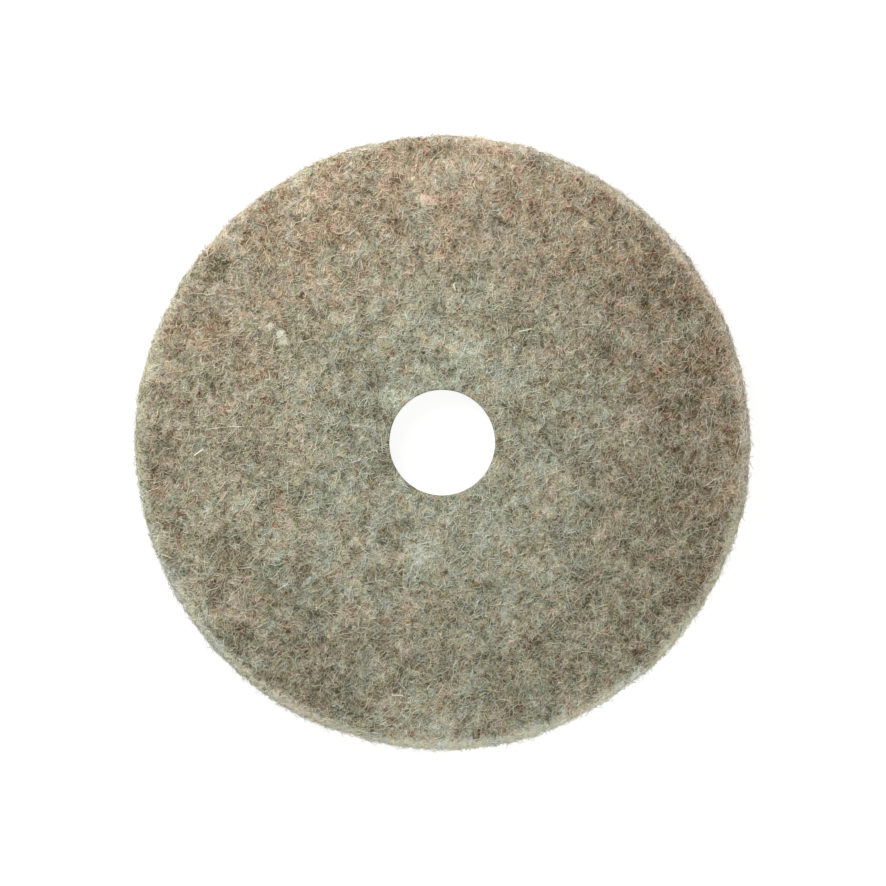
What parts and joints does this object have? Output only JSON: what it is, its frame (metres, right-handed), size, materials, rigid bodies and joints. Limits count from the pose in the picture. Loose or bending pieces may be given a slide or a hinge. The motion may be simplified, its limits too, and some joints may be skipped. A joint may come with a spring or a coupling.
{
  "type": "floor polishing pad",
  "caption": "Thick round floor polishing pad of needled natural hair and synthetic fibre, with a soft rolled rim and a plain round hub hole.",
  "frame": {"origin": "centre of the hub hole, in the plane of the working face that the pad lies on", "axes": "+Z along the pad's axis, from the working face to the driver face; X and Y across the pad"},
  "size_m": [0.4826, 0.4826, 0.0254],
  "materials": {
    "hair_felt": "matt, mottled grey-brown needled hair and synthetic fibre with pale loose fibres and a few rust and green ones"
  },
  "bodies": {
    "root": {"polishing_pad": "hair_felt"}
  },
  "joints": []
}
